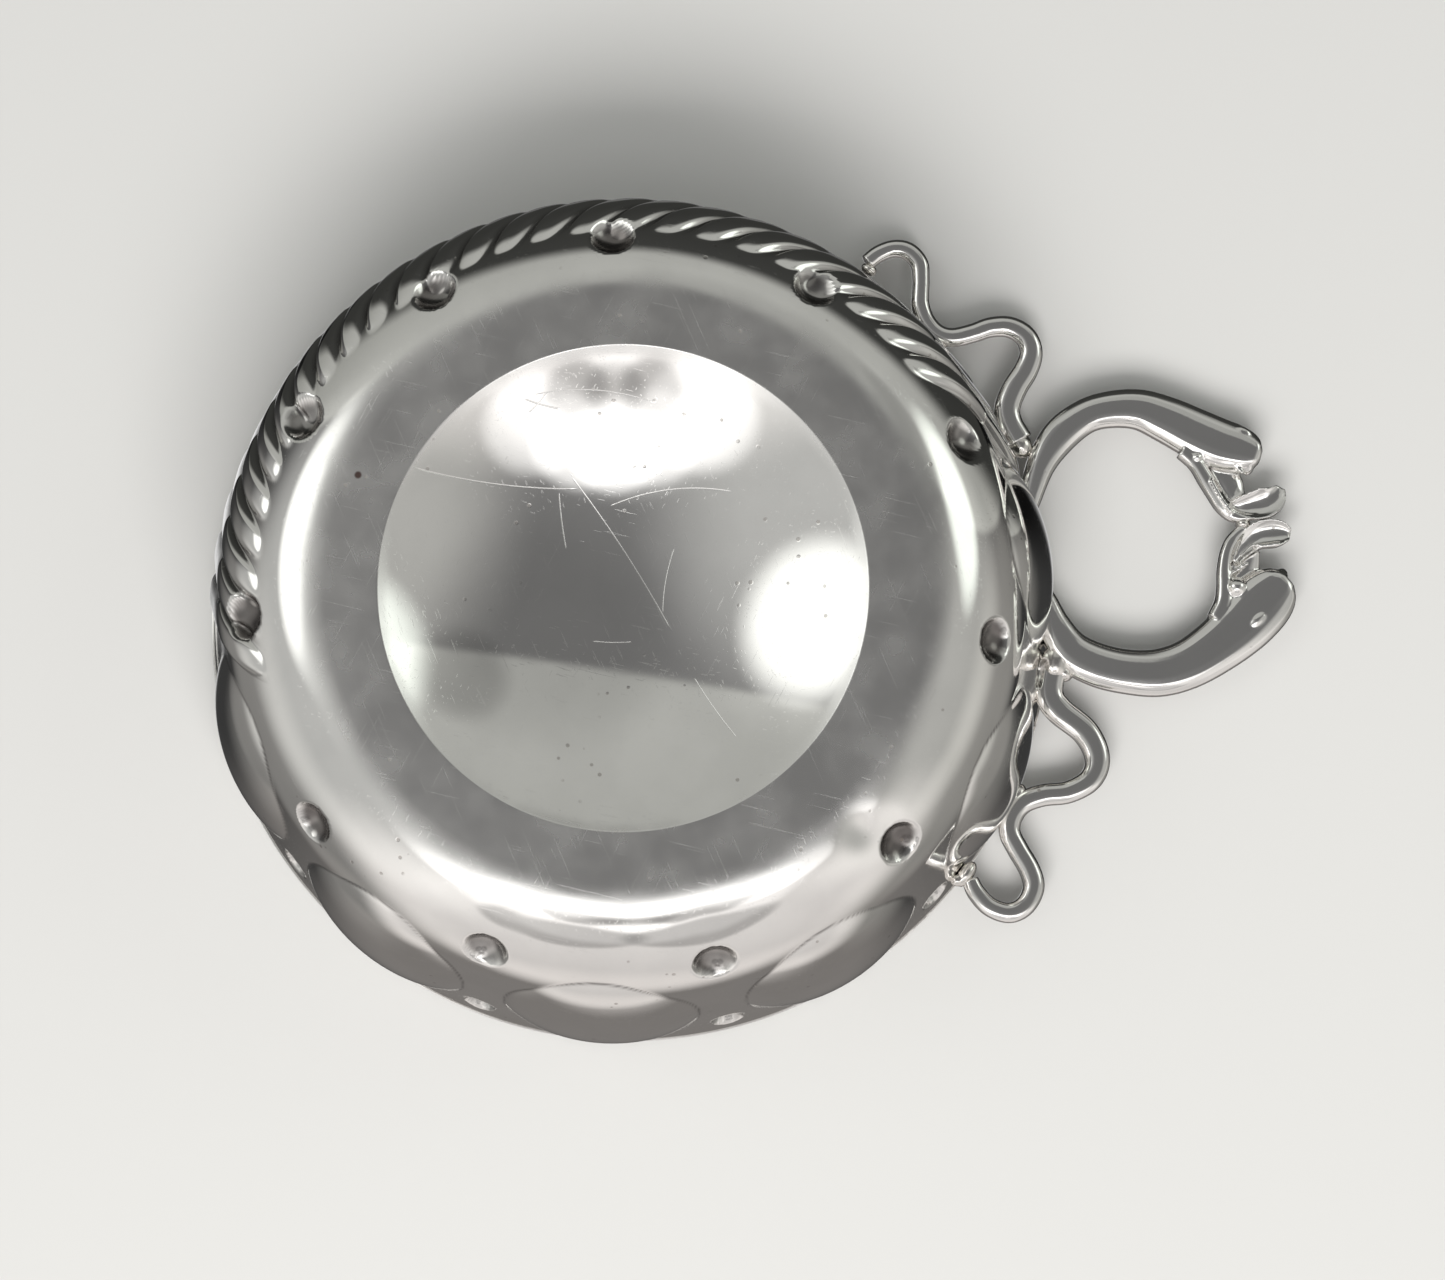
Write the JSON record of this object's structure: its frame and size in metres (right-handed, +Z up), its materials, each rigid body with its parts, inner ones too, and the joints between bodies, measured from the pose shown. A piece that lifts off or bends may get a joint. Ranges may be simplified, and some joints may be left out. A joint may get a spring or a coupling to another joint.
{
  "type": "wine tasting cup",
  "caption": "Shallow silver wine taster's cup with a raised centre, bosses on one side, slanting flutes on the other and a ring handle of facing serpents.",
  "frame": {"origin": "on the bowl's axis, in the plane of the flat ring that the cup stands on", "axes": "+Z up, out of the open mouth; +X along the middle of the ring handle; bosses face +Y and flutes face -Y"},
  "size_m": [0.1095, 0.0849, 0.026],
  "materials": {
    "silver_sheet": "mirror polish worn by use, with fine scratches",
    "cast_silver": "polished casting with small pits",
    "silver_solder": "flowed solder, slightly dull"
  },
  "bodies": {
    "root": {"bowl": "silver_sheet", "serpent_arm_left": "cast_silver", "serpent_arm_right": "cast_silver", "tail_left": "cast_silver", "tail_right": "cast_silver", "ring_root_solder": "silver_solder", "tail_bend_solder": "silver_solder", "tail_tip_solder": "silver_solder", "jaw_solder": "silver_solder"}
  },
  "joints": []
}
